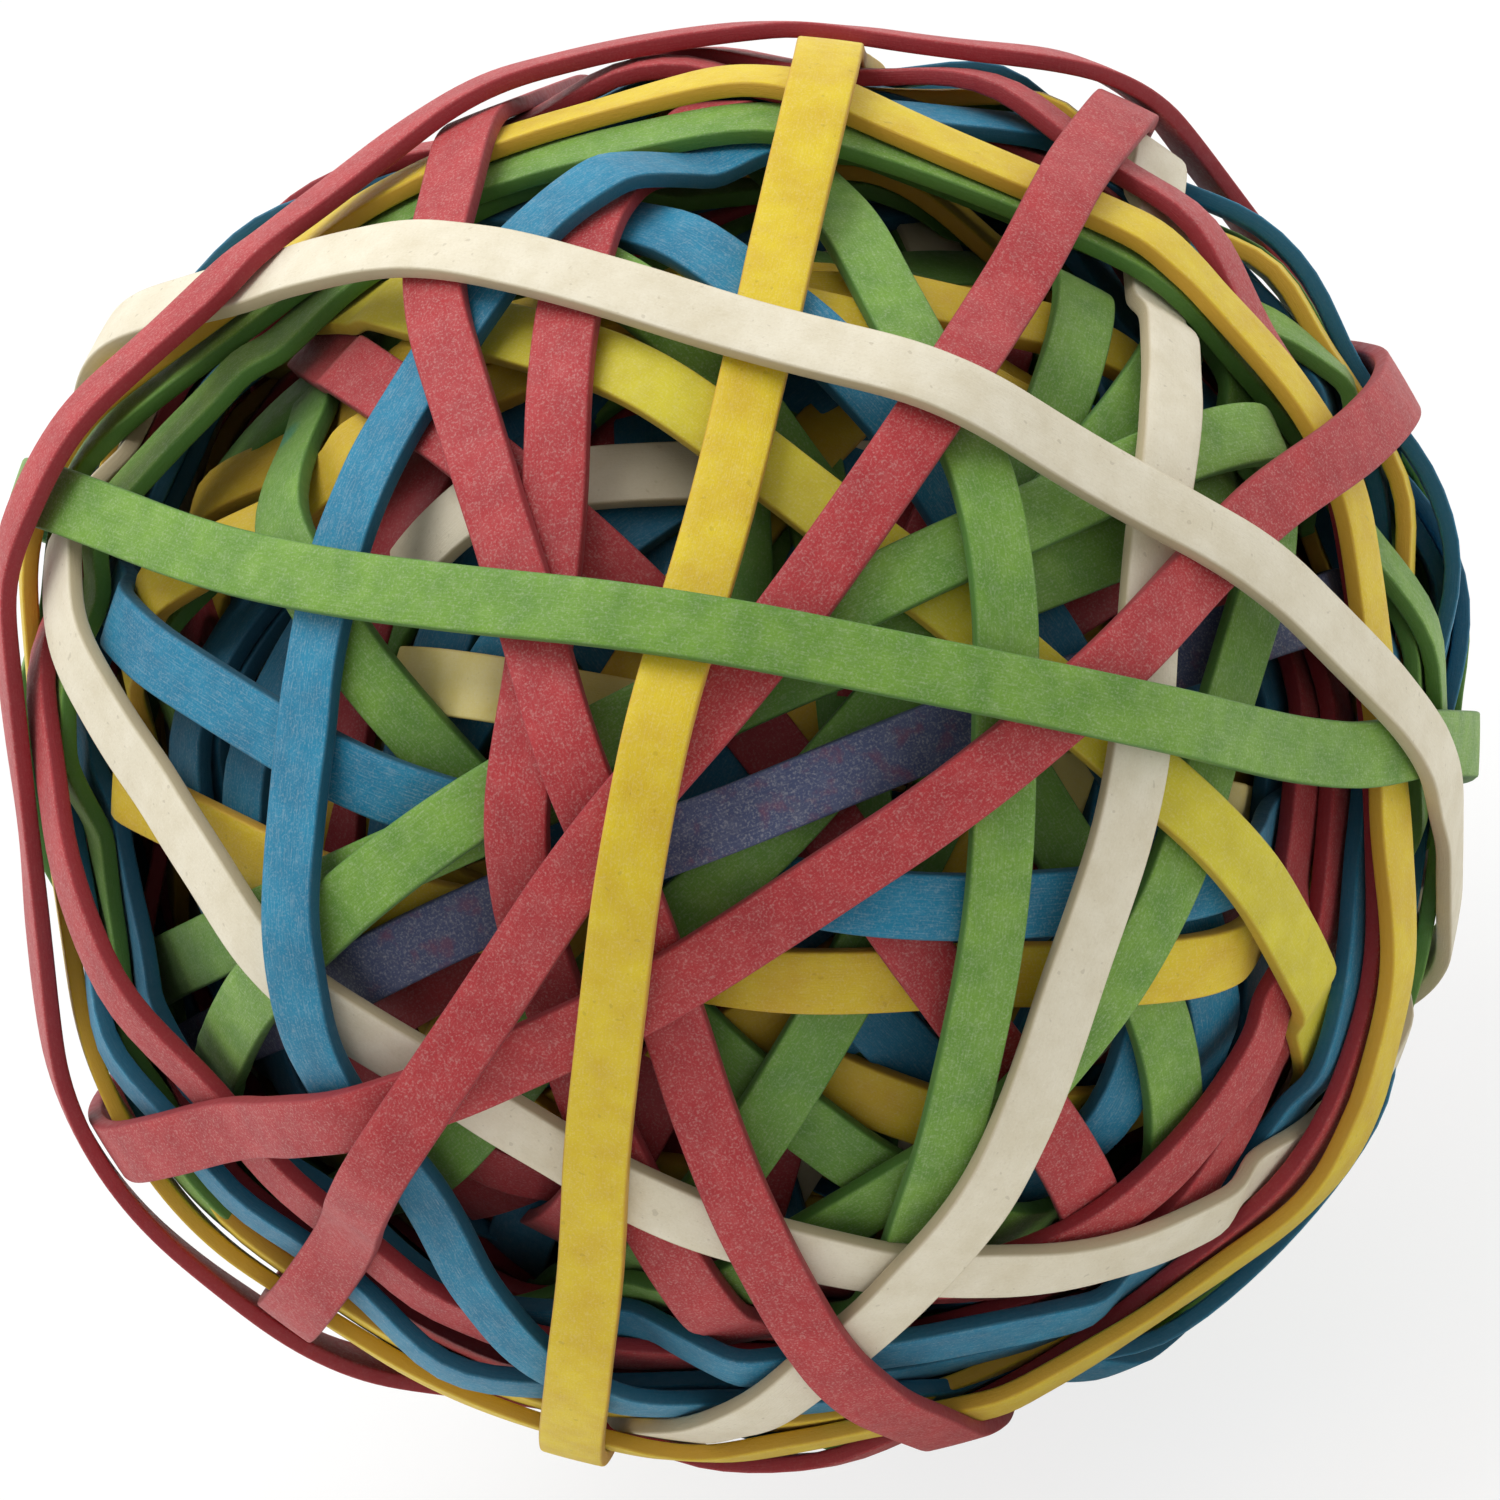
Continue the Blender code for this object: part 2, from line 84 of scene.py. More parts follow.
# Bands that show only in the gaps: name, colour, the outer band wound after it, and the points it
# passes on the ball's front, right and up, in percent of the ball's radius.
deepBands = (
    ("band_green_dark_low", "green", "band_yellow_pale", (
        (-6.5, -47), (1.5, -58), (11, -65.5))),
    ("band_blue_dark_low", "blue", "band_yellow_pale", (
        (-6, -40.5), (-3.5, -50), (1.5, -61))),
    ("band_olive_deep", "yellow", "band_yellow_pale", (
        (54.5, -40.5), (49, -48), (44, -54), (37.5, -62))),
    ("band_white_deep_low", "white", "band_yellow_pale", (
        (54.5, -47), (48.5, -55.5), (37, -65))),
    ("band_red_deep_base", "red", "band_yellow_pale", (
        (-43.5, -69.5), (-36.5, -74), (-28.5, -77), (-15, -80.5))),
    ("band_yellow_deep_base", "yellow", "band_yellow_pale", (
        (-36.5, -65), (-28.5, -68.5), (-15, -76), (-6.5, -80))),
    ("band_blue_deep_centre", "blue", "band_yellow_pale", (
        (-20.5, 49), (-18, 38.5), (-17, 30.5), (-15, 21), (-17.5, 9.5))),
    ("band_red_deep_centre", "red", "band_yellow_pale", (
        (15, -28), (11, -41.5), (9, -48.5), (7, -56.5))),
    ("band_blue_dark_centre", "blue", "band_yellow_pale", (
        (27.5, -54), (19, -46), (11, -36.5), (1.5, -21.5))),
    ("band_blue_top_deep", "blue", "band_yellow_pale", (
        (5.5, 58.5), (16, 65), (27, 71), (35.5, 74.5))),
    ("band_red_upper_deep", "red", "band_yellow_upper_girdle", (
        (35, 47), (38.5, 54), (40, 61))),
    ("band_blue_upper_right", "blue", "band_yellow_upper_girdle", (
        (64, 62), (67.5, 55), (70, 47))),
    ("band_yellow_right_deep", "yellow", "band_green_right_deep", (
        (66, 42), (73, 38), (80, 31), (86, 23.5))),
    ("band_blue_right_low", "blue", "band_yellow_lower_cross", (
        (70, -38.5), (72, -48), (71, -57))),
    ("band_blue_right_outer", "blue", "band_yellow_lower_cross", (
        (75.5, -55.5), (80, -46), (84, -38), (87, -30), (88.5, -20))),
    ("band_red_low_edge", "red", "band_white_low_sweep", (
        (-54.5, -76.5), (-42, -83), (-31, -89.5))),
    ("band_blue_low_edge", "blue", "band_white_low_sweep", (
        (-54.5, -80.5), (-46, -86), (-37.5, -89), (-30, -92.5))),
    ("band_green_right_outer", "green", "band_yellow_right_arch", (
        (84, 46), (88, 39.5), (91.5, 33))),
    ("band_red_right_outer", "red", "band_yellow_right_arch", (
        (86.5, 38), (89.5, 31), (91, 24))),
    ("band_blue_left_steep", "blue", "band_green_left_limb", (
        (-67, 50), (-80, 36), (-84.5, 26), (-87.5, 17.5), (-89, 8), (-88.5, -7), (-86.5, -20), (-85.5, -33),
        (-84.5, -40.5))),
    ("band_yellow_left_low", "yellow", "band_yellow_pale", (
        (-75, -2), (-73, -10.5), (-62.5, -21.5), (-54.5, -25.5), (-47.5, -26.5))),
    ("band_green_left_steep", "green", "band_green_right_deep", (
        (-70, 49), (-75.5, 37.5), (-71.5, 29), (-62.5, 17), (-56.5, 7.5), (-51, -1), (-46, -7.5),
        (-41.5, -18.5))),
    ("band_yellow_top_deep", "yellow", "band_white_upper_deep", (
        (20.5, 78), (29, 78.5), (35.5, 77.5))),
    ("band_blue_left_inner", "blue", "band_blue_left_outer", (
        (-77.5, 19.5), (-79, 8.5), (-80.5, -11.5), (-80.5, -25.5), (-78.5, -44), (-71, -58),
        (-62.5, -66.5))),
    ("band_yellow_left_rim", "yellow", "band_yellow_upper_slant", (
        (-51, 83.5), (-57, 79), (-65.5, 73), (-73.5, 65.5), (-79, 60))),
    ("band_red_right_twin", "red", "band_green_base_rim", (
        (91.5, -14.5), (88, -28), (82, -43), (76.5, -52), (70, -59.5), (61.5, -67.5))),
)

# The outer bands in the order they are wound.
windingOrder = (
    "band_yellow_pale", "band_white_upper_deep", "band_yellow_upper_girdle", "band_blue_left_outer",
    "band_green_left_limb", "band_yellow_upper_slant", "band_green_right_deep",
    "band_green_lower_right", "band_yellow_lower_cross", "band_red_long_slant",
    "band_blue_lower_cross", "band_red_right_low", "band_green_base_rim", "band_green_lower_left",
    "band_purple_slant", "band_green_left_rise", "band_green_right_slant",
    "band_yellow_lemon_slant", "band_green_upper_right", "band_green_upright",
    "band_red_left_upright", "band_blue_left_rim", "band_blue_low_rim", "band_green_upper_rim",
    "band_white_low_sweep", "band_blue_left_arch", "band_white_right_arch",
    "band_yellow_right_arch", "band_red_centre_sweep", "band_red_wide_slant", "band_red_diagonal", "band_yellow_upright", "band_green_girdle",
    "band_white_crown", "band_red_left_rim")
cadColours = {"band_yellow_pale": "pale", "band_yellow_lemon_slant": "lemon"}

turns = np.arange(stations) * (2 * math.pi / stations)


# Turns a row-frame point in mm into the ball's own axes, and back.
def toBall(points):
    return (points - ballCentre) @ ballTurn


def toRow(points):
    return points @ ballTurn.T + ballCentre


# A round average along a closed band: the wave form times a Gaussian of so many degrees.
def blurred(values, degrees):
    waves = np.fft.rfft(values, axis=0)
    fall = np.exp(-0.5 * (np.arange(len(waves)) * math.radians(degrees)) ** 2)
    return np.fft.irfft(waves * (fall if waves.ndim == 1 else fall[:, None]), len(values), axis=0)


# A slow wobble along a closed band: a few sine waves of random phase and falling height.
def wobble(rng, waves, size):
    total = np.zeros(stations)
    for wave in range(1, waves + 1):
        total += rng.normal() * np.cos(wave * turns + rng.uniform(0, 2 * math.pi)) / math.sqrt(wave)
    return size * total / math.sqrt(waves)


# The pole's own axes: the turn starts at the back of the ball, so that no seam shows in front.
def axesOf(pole):
    start = np.array((0.0, 1.0, 0.0)) if abs(pole[1]) < 0.9 else np.array((1.0, 0.0, 0.0))
    first = start - (start @ pole) * pole
    first /= np.linalg.norm(first)
    return np.array((first, np.cross(pole, first), pole))


# Unit directions at a turn and latitude about the pole.
def lookAt(axes, turn, latitude):
    flat = np.cos(turn)[..., None] * axes[0] + np.sin(turn)[..., None] * axes[1]
    return np.cos(latitude)[..., None] * flat + np.sin(latitude)[..., None] * axes[2]


# A band as the scene keeps it: latitude, radius of its centre line and twist at every station.
def newStrip(name, colour, axes, latitude):
    return {"name": name, "colour": colour, "axes": axes, "latitude": latitude, "traced": False,
            "radius": np.full(stations, 35.0), "twist": np.zeros(stations)}


# Reads where a CAD band lies: its corners are sorted into its straight spans' ends, whose middles
# are joined by straight lines, and those are read off again at even turns about its pole.
def stripOfNode(name):
    mesh = frame["nodes"][name].data
    flat = np.empty(len(mesh.vertices) * 3, np.float32)
    mesh.vertices.foreach_get("co", flat)
    corners = np.unique(np.round(flat.reshape(-1, 3).astype(float) / mm, 4), axis=0)
    corners = toBall(corners)
    pole = np.linalg.svd(corners - corners.mean(axis=0))[2][2]
    axes = axesOf(pole if pole[2] > 0 else -pole)
    angle = np.arctan2(corners @ axes[1], corners @ axes[0])
    phase = np.angle(np.exp(1j * spansInCad * angle).sum()) / spansInCad
    knot = np.round((angle - phase) / (2 * math.pi) * spansInCad).astype(int) % spansInCad
    middles = np.array([corners[knot == k].mean(axis=0) for k in range(spansInCad)])
    share = np.arange(16)[None, :, None] / 16
    line = middles[:, None] * (1 - share) + np.roll(middles, -1, axis=0)[:, None] * share
    line = line.reshape(-1, 3)
    reach = np.linalg.norm(line, axis=1)
    turn = np.arctan2(line @ axes[1], line @ axes[0]) % (2 * math.pi)
    order = np.argsort(turn)
    latitude = np.interp(turns, turn[order], np.arcsin(line @ axes[2] / reach)[order],
                         period=2 * math.pi)
    radius = np.interp(turns, turn[order], reach[order], period=2 * math.pi)
    colour = cadColours.get(name, name.split("_")[1])
    strip = newStrip(name, colour, axes, blurred(latitude, 3.0))
    strip["radius"] = blurred(radius, 3.2) + (cadThickness - bandThickness) / 2
    return strip


# A band through points on the ball's front: the plane nearest to them, bent by a Gaussian-weighted
# mean of how far each point lies off it, and fading back to the plane.
def stripThrough(name, colour, points):
    right, up = np.array(points, float).T / 100
    towards = np.stack((right, -np.sqrt(np.maximum(1 - right**2 - up**2, 0.0)), up), axis=1)
    towards /= np.linalg.norm(towards, axis=1)[:, None]
    total = towards.sum(axis=0)
    count = len(towards) * 1.02
    pole = np.linalg.eigh(towards.T @ towards - np.outer(total, total) / count)[1][:, 0]
    pole = pole if pole[2] > 0 else -pole
    rest = math.asin(np.clip(float(pole @ total) / count, -0.5, 0.5))
    axes = axesOf(pole)
    at = np.arctan2(towards @ axes[1], towards @ axes[0])
    bends = np.arcsin(towards @ pole) - rest
    apart = (turns[:, None] - at + math.pi) % (2 * math.pi) - math.pi
    weight = np.exp(-0.5 * (apart / math.radians(9.0)) ** 2)
    latitude = rest + (weight * bends).sum(axis=1) / (weight.sum(axis=1) + 0.08)
    return newStrip(name, colour, axes, latitude) | {"traced": True}


# The height maps: one value for each cell of a cube's six sides, seen from the ball's centre.
def cubeDirections():
    middle = (np.arange(cellsAcross) + 0.5) / cellsAcross * 2 - 1
    across, up = np.meshgrid(middle, middle, indexing="ij")
    sides = []
    for axis in range(3):
        for sign in (1.0, -1.0):
            side = np.empty((cellsAcross, cellsAcross, 3))
            side[..., axis] = sign
            side[..., (axis + 1) % 3] = across
            side[..., (axis + 2) % 3] = up
            sides.append(side.reshape(-1, 3))
    found = np.concatenate(sides)
    return found / np.linalg.norm(found, axis=1)[:, None]


cells = cubeDirections()


# The cell that a direction falls in: the side by its longest part, then the two other parts.
def cellOf(looks):
    axis = np.abs(looks).argmax(axis=-1)
    longest = np.take_along_axis(looks, axis[..., None], -1)[..., 0]
    across = np.take_along_axis(looks, ((axis + 1) % 3)[..., None], -1)[..., 0] / np.abs(longest)
    up = np.take_along_axis(looks, ((axis + 2) % 3)[..., None], -1)[..., 0] / np.abs(longest)
    column = np.clip(((across + 1) / 2 * cellsAcross).astype(int), 0, cellsAcross - 1)
    row = np.clip(((up + 1) / 2 * cellsAcross).astype(int), 0, cellsAcross - 1)
    return ((axis * 2 + (longest < 0)) * cellsAcross + column) * cellsAcross + row


# The cells that a band covers, with its outer and inner radius there.
def footprint(strip, half=bandWidth / 2):
    axes = strip["axes"]
    sine = cells @ axes[2]
    lowest, highest = strip["latitude"].min() - 0.06, strip["latitude"].max() + 0.06
    near = np.flatnonzero((sine > math.sin(lowest)) & (sine < math.sin(highest)))
    looks = cells[near]
    place = (np.arctan2(looks @ axes[1], looks @ axes[0]) % (2 * math.pi)) / turns[1]
    before = place.astype(int) % stations
    share = place - place.astype(int)
    after = (before + 1) % stations

    def along(values):
        return values[before] * (1 - share) + values[after] * share

    slope = (np.roll(strip["latitude"], -1) - np.roll(strip["latitude"], 1)) / (2 * turns[1])
    lean = np.cos(np.arctan(slope / np.cos(strip["latitude"])))
    aside = (np.arcsin(sine[near]) - along(strip["latitude"])) * along(strip["radius"] * lean)
    inside = np.abs(aside) < half
    middle = (along(strip["radius"]) + np.tan(along(strip["twist"])) * aside)[inside]
    return near[inside], middle + bandThickness / 2, middle - bandThickness / 2


# A height map read under a band, one column for each line along it.
def readUnder(strip, heights, asides):
    lean = asides[None, :] / strip["radius"][:, None]
    looks = lookAt(strip["axes"], turns[:, None] + 0 * lean, strip["latitude"][:, None] + lean)
    return heights[cellOf(looks)] * np.cos(lean)


# The loop pulled taut over the heights: each radius is the least, over all directions, of how far
# the whole loop reaches that way divided by the cosine of the angle to it.
def pulledTaut(radius, latitude):
    flat = radius * np.cos(latitude)
    apart = np.cos(turns[:, None] - turns[None, :])
    reach = (apart * flat).max(axis=1)
    with np.errstate(divide="ignore", invalid="ignore"):
        lines = np.where(apart > 0.2, reach[None, :] / apart, np.inf)
    return lines.min(axis=1) / np.cos(latitude)


# The radius that keeps a band's middle off what is wound already.
def radiusOver(strip, heights):
    asides = np.linspace(-bandWidth / 2, bandWidth / 2, 7)
    return readUnder(strip, heights, asides).max(axis=1) + bandThickness / 2


# Lays an outer band: taut over what is wound already, and near where the solid has it.
def layOuter(strip, heights):
    wished = strip["radius"]
    need = radiusOver(strip, heights)
    taut = pulledTaut(np.maximum(need, wished - outerLay["slack"]), strip["latitude"])
    radius = np.minimum(taut, wished + outerLay["rise"])
    radius = blurred(np.maximum(radius, need - 0.1), 1.3)
    strip["off"] = radius - wished
    strip["radius"] = radius


# Hangs a band under what lies over it: the lowest underside across the band and near it, from which
# it rises no faster than rubber under pull would, rounded off.
def hangUnder(strip, ceiling, rise):
    asides = np.linspace(-bandWidth / 2 - 0.15, bandWidth / 2 + 0.15, 9)
    most = readUnder(strip, ceiling, asides).min(axis=1) - bandThickness / 2
    lowest = np.min([np.roll(most, step) + rise * max(abs(step) - 2, 0)
                     for step in range(-40, 41)], axis=0)
    strip["radius"] = blurred(np.minimum(blurred(lowest, 2.6), most + 0.05), 1.0)


# Presses an outer band down where a deeper one that was wound after it needs the room.
def pressUnder(strip, ceiling, rise):
    asides = np.linspace(-bandWidth / 2 + 0.15, bandWidth / 2 - 0.15, 7)
    most = readUnder(strip, ceiling, asides).min(axis=1) - bandThickness / 2
    lowest = np.min([np.roll(most, step) + rise * max(abs(step) - 1, 0)
                     for step in range(-20, 21)], axis=0)
    if (lowest < strip["radius"]).any():
        strip["radius"] = blurred(np.minimum(strip["radius"], lowest), 0.9)


outerLay = {"slack": 0.25, "rise": 0.35}
# mm a degree
riseOf = {"pressed": 0.28, "deep": 0.20, "limb": 0.28, "fill": 0.14}


# Twists a band towards the side that nothing holds up, as rubber does at the edge of a crossing.
def layTwist(strip, heights, rng):
    asides = np.linspace(-1.5, 1.5, 7)
    under = readUnder(strip, heights, asides)
    gap = np.clip(strip["radius"][:, None] - bandThickness / 2 - under, 0.0, None)
    weight = np.exp(-gap / 0.2)
    lever = (weight * asides).sum(axis=1) / (weight.sum(axis=1) + 0.8)
    twist = blurred(np.clip(lever * 0.16, -0.15, 0.15), 2.2)
    strip["twist"] = twist + wobble(rng, 9, 0.012)
    strip["radius"] = strip["radius"] - 0.5 * np.abs(twist) * bandWidth / 2


# A strip's cross-section, points round a rectangle with rounded corners and a faintly crowned
# face: across, outward, and how much the point belongs to the cut side.
def sectionOf(facePoints, cornerPoints):
    half, thick, corner, crown = bandWidth / 2, bandThickness / 2, 0.13, 0.025
    flat = thick - crown - corner
    face = [(x * (half - corner), thick - crown * x * x, 0.0)
            for x in np.linspace(-1, 1, facePoints)]
    bends = [math.pi / 2 * (k + 1) / (cornerPoints + 1) for k in range(cornerPoints)]
    right = [(half - corner + corner * math.sin(bend), flat + corner * math.cos(bend), 0.6)
             for bend in bends]
    right += [(half, flat, 1.0), (half, -flat, 1.0)]
    right += [(half - corner + corner * math.cos(bend), -flat - corner * math.sin(bend), 0.6)
              for bend in bends]
    right += [(half - corner, crown - thick, 0.0)]
    left = [(-across, up, cut) for across, up, cut in reversed(right)]
    return np.array(face + right + left)


# Sweeps the section along a band: the tangent of the centre line, the side at right angles to it
# and to the outward look, both turned by the twist.
def sweptStrip(strip, section, step, rng):
    axes, radius = strip["axes"], strip["radius"]
    latitude = strip["latitude"] + wobble(rng, 24, 0.0006)
    centre = lookAt(axes, turns, latitude) * radius[:, None]
    tangent = np.roll(centre, -1, axis=0) - np.roll(centre, 1, axis=0)
    tangent /= np.linalg.norm(tangent, axis=1)[:, None]
    outward = centre / radius[:, None]
    side = np.cross(outward, tangent)
    side /= np.linalg.norm(side, axis=1)[:, None]
    outward = np.cross(tangent, side)
    towardsPole = np.sign((side * axes[2]).sum())
    twist = strip["twist"] * towardsPole
    turnedSide = np.cos(twist)[:, None] * side + np.sin(twist)[:, None] * outward
    turnedOut = np.cos(twist)[:, None] * outward - np.sin(twist)[:, None] * side
    wide = 1 + wobble(rng, 6, 0.012)
    thick = 1 + wobble(rng, 12, 0.02)
    across = section[:, 0] * wide[:, None]
    up = section[:, 1] * thick[:, None]
    shell = (centre[:, None] + across[..., None] * turnedSide[:, None]
             + up[..., None] * turnedOut[:, None])
    return shell[::step]


# Joins swept strips into one mesh: quads between neighbouring stations and section points, with
# the millimetres along and round as UV, the cut side as an attribute, and how deep each point lies, for the
# painted shade, as another.
def pieceOf(name, shells, section, material, seed):
    low, high = np.array(cadBox[0]) / mm, np.array(cadBox[1]) / mm
    loop = np.append(section[:, :2], section[:1, :2], axis=0)
    round_ = np.append(0.0, np.cumsum(np.linalg.norm(np.diff(loop, axis=0), axis=1)))
    points, quads, uvs, sides = [], [], [], []
    start = 0
    for shell in shells:
        rows, columns = shell.shape[:2]
        along = np.arange(rows + 1) * (226.0 / rows)
        i, j = np.meshgrid(np.arange(rows), np.arange(columns), indexing="ij")
        nextI, nextJ = (i + 1) % rows, (j + 1) % columns
        quads.append(start + np.stack((i * columns + j, i * columns + nextJ,
                                       nextI * columns + nextJ, nextI * columns + j),
                                      axis=-1).reshape(-1, 4))
        offset = seed * 37.0 + start * 0.11
        uvs.append(np.stack((np.stack((along[i] + offset, round_[j]), axis=-1),
                             np.stack((along[i] + offset, round_[j + 1]), axis=-1),
                             np.stack((along[i + 1] + offset, round_[j + 1]), axis=-1),
                             np.stack((along[i + 1] + offset, round_[j]), axis=-1)),
                            axis=2).reshape(-1, 2))
        sides.append(np.tile(section[:, 2], rows))
        points.append(np.clip(toRow(shell.reshape(-1, 3)), low, high))
        start += rows * columns
    points = np.concatenate(points) * mm
    quads = np.concatenate(quads)
    first = points[quads[0]]
    facing = np.cross(first[1] - first[0], first[3] - first[0])
    if facing @ (first[0] - ballCentre * mm) < 0:
        quads = quads[:, ::-1]
        uvs = [uv.reshape(-1, 4, 2)[:, ::-1].reshape(-1, 2) for uv in uvs]
    mesh = bpy.data.meshes.new(name)
    mesh.vertices.add(len(points))
    mesh.vertices.foreach_set("co", points.astype(np.float32).ravel())
    mesh.loops.add(quads.size)
    mesh.loops.foreach_set("vertex_index", quads.astype(np.int32).ravel())
    mesh.polygons.add(len(quads))
    mesh.polygons.foreach_set("loop_start", np.arange(0, quads.size, 4, dtype=np.int32))
    mesh.polygons.foreach_set("use_smooth", np.ones(len(quads), bool))
    layer = mesh.uv_layers.new(name="strip")
    layer.data.foreach_set("uv", (np.concatenate(uvs) / 10).astype(np.float32).ravel())
    looks = np.concatenate([shell.reshape(-1, 3) for shell in shells])
    reach = np.linalg.norm(looks, axis=1)
    # How much painted shade each point gets: how far it lies under the level of the outer bands' tops.
    sunk = np.clip((levelAt(looks / reach[:, None]) - 1.6 - reach) / 5.0, 0.0, 1.0)
    depth = mesh.attributes.new("depth", "FLOAT", "POINT")
    depth.data.foreach_set("value", sunk.astype(np.float32))
    cut = mesh.attributes.new("cutSide", "FLOAT", "POINT")
    cut.data.foreach_set("value", np.concatenate(sides).astype(np.float32))
    mesh.update(calc_edges=True)
    mesh.validate()
    mesh.materials.append(material)
    piece = bpy.data.objects.new(name, mesh)
    bpy.context.scene.collection.objects.link(piece)
    return piece


# An sRGB hex colour as linear numbers.
def linear(code, alpha=1.0):
    parts = [int(code[k:k + 2], 16) / 255 for k in (1, 3, 5)]
    return (*[p / 12.92 if p <= 0.04045 else ((p + 0.055) / 1.055) ** 2.4 for p in parts], alpha)


# Adds a node, sets its fields and inputs; an input given as a socket is linked.
def addNode(tree, kind, inputs=None, **fields):
    node = tree.nodes.new(kind)
    for field, value in fields.items():
        setattr(node, field, value)
    for key, value in (inputs or {}).items():
        if isinstance(value, bpy.types.NodeSocket):
            tree.links.new(value, node.inputs[key])
        else:
            node.inputs[key].default_value = value
    return node


# Noise read on a vector, stretched to a range: nothing below low, all above high.
def noiseMask(tree, vector, scale, detail, low, high, most=1.0):
    noise = addNode(tree, "ShaderNodeTexNoise", {"Vector": vector, "Scale": scale,
                                                 "Detail": detail, "Roughness": 0.6})
    return addNode(tree, "ShaderNodeMapRange",
                   {"Value": noise.outputs[0], "From Min": low, "From Max": high,
                    "To Min": 0.0, "To Max": most}).outputs[0]


def mixed(tree, factor, first, second):
    node = addNode(tree, "ShaderNodeMix", data_type="RGBA", clamp_factor=True)
    for socket, value in ((0, factor), (6, first), (7, second)):
        if isinstance(value, bpy.types.NodeSocket):
            tree.links.new(value, node.inputs[socket])
        else:
            node.inputs[socket].default_value = value
    return node.outputs[2]


# cut: the side walls' colour, partly the undusted cut rubber's own and partly painted shade.
rubberLooks = {
    "red": {"face": "#B23236", "deep": "#A1282E", "cut": "#8A2028", "talc": 0.15, "fleck": 0.0,
            "streak": 0.04},
    "yellow": {"face": "#DCC21C", "deep": "#D0AE1C", "cut": "#C0922A", "talc": 0.10,
               "fleck": 0.18, "streak": 0.05},
    "lemon": {"face": "#D0C428", "deep": "#C2B424", "cut": "#B89A26", "talc": 0.10, "fleck": 0.15,
              "streak": 0.05},
    "pale": {"face": "#F1E4A0", "deep": "#E8D67A", "cut": "#D2B766", "talc": 0.15, "fleck": 0.15,
             "streak": 0.06},
    "blue": {"face": "#0E7FA2", "deep": "#0C6E90", "cut": "#084C64", "talc": 0.10, "fleck": 0.0,
             "streak": 0.10},
    "green": {"face": "#749E38", "deep": "#5E8A30", "cut": "#47742A", "talc": 0.14, "fleck": 0.05,
              "streak": 0.08},
    "white": {"face": "#E4DCC6", "deep": "#D8CEB4", "cut": "#B5A684", "talc": 0.15, "fleck": 0.20,
              "streak": 0.08},
    "purple": {"face": "#4A5478", "deep": "#3D4568", "cut": "#2C3B58", "talc": 0.22, "fleck": 0.0,
               "streak": 0.06},
}
talcTint = "#F2EEE2"
# A small stain on the green band at the upper left: where it lies seen from the ball's middle, and
# the cosines of the angles at which it begins and is full.
stainSettings = {"look": np.array((-0.765, -0.418, 0.490)), "edge": 0.9993, "middle": 0.9999,
                 "most": 0.6, "tint": "#1F8C84"}
# Dark tints for the painted shade on bands that lie deeper in the ball, where less light reaches.
paintedShadeTint = {"red": "#6E1620", "yellow": "#8C6414", "lemon": "#857416", "pale": "#B79B4C",
             "blue": "#083A54", "green": "#2F5A1E", "white": "#A8987A", "purple": "#1E2440"}
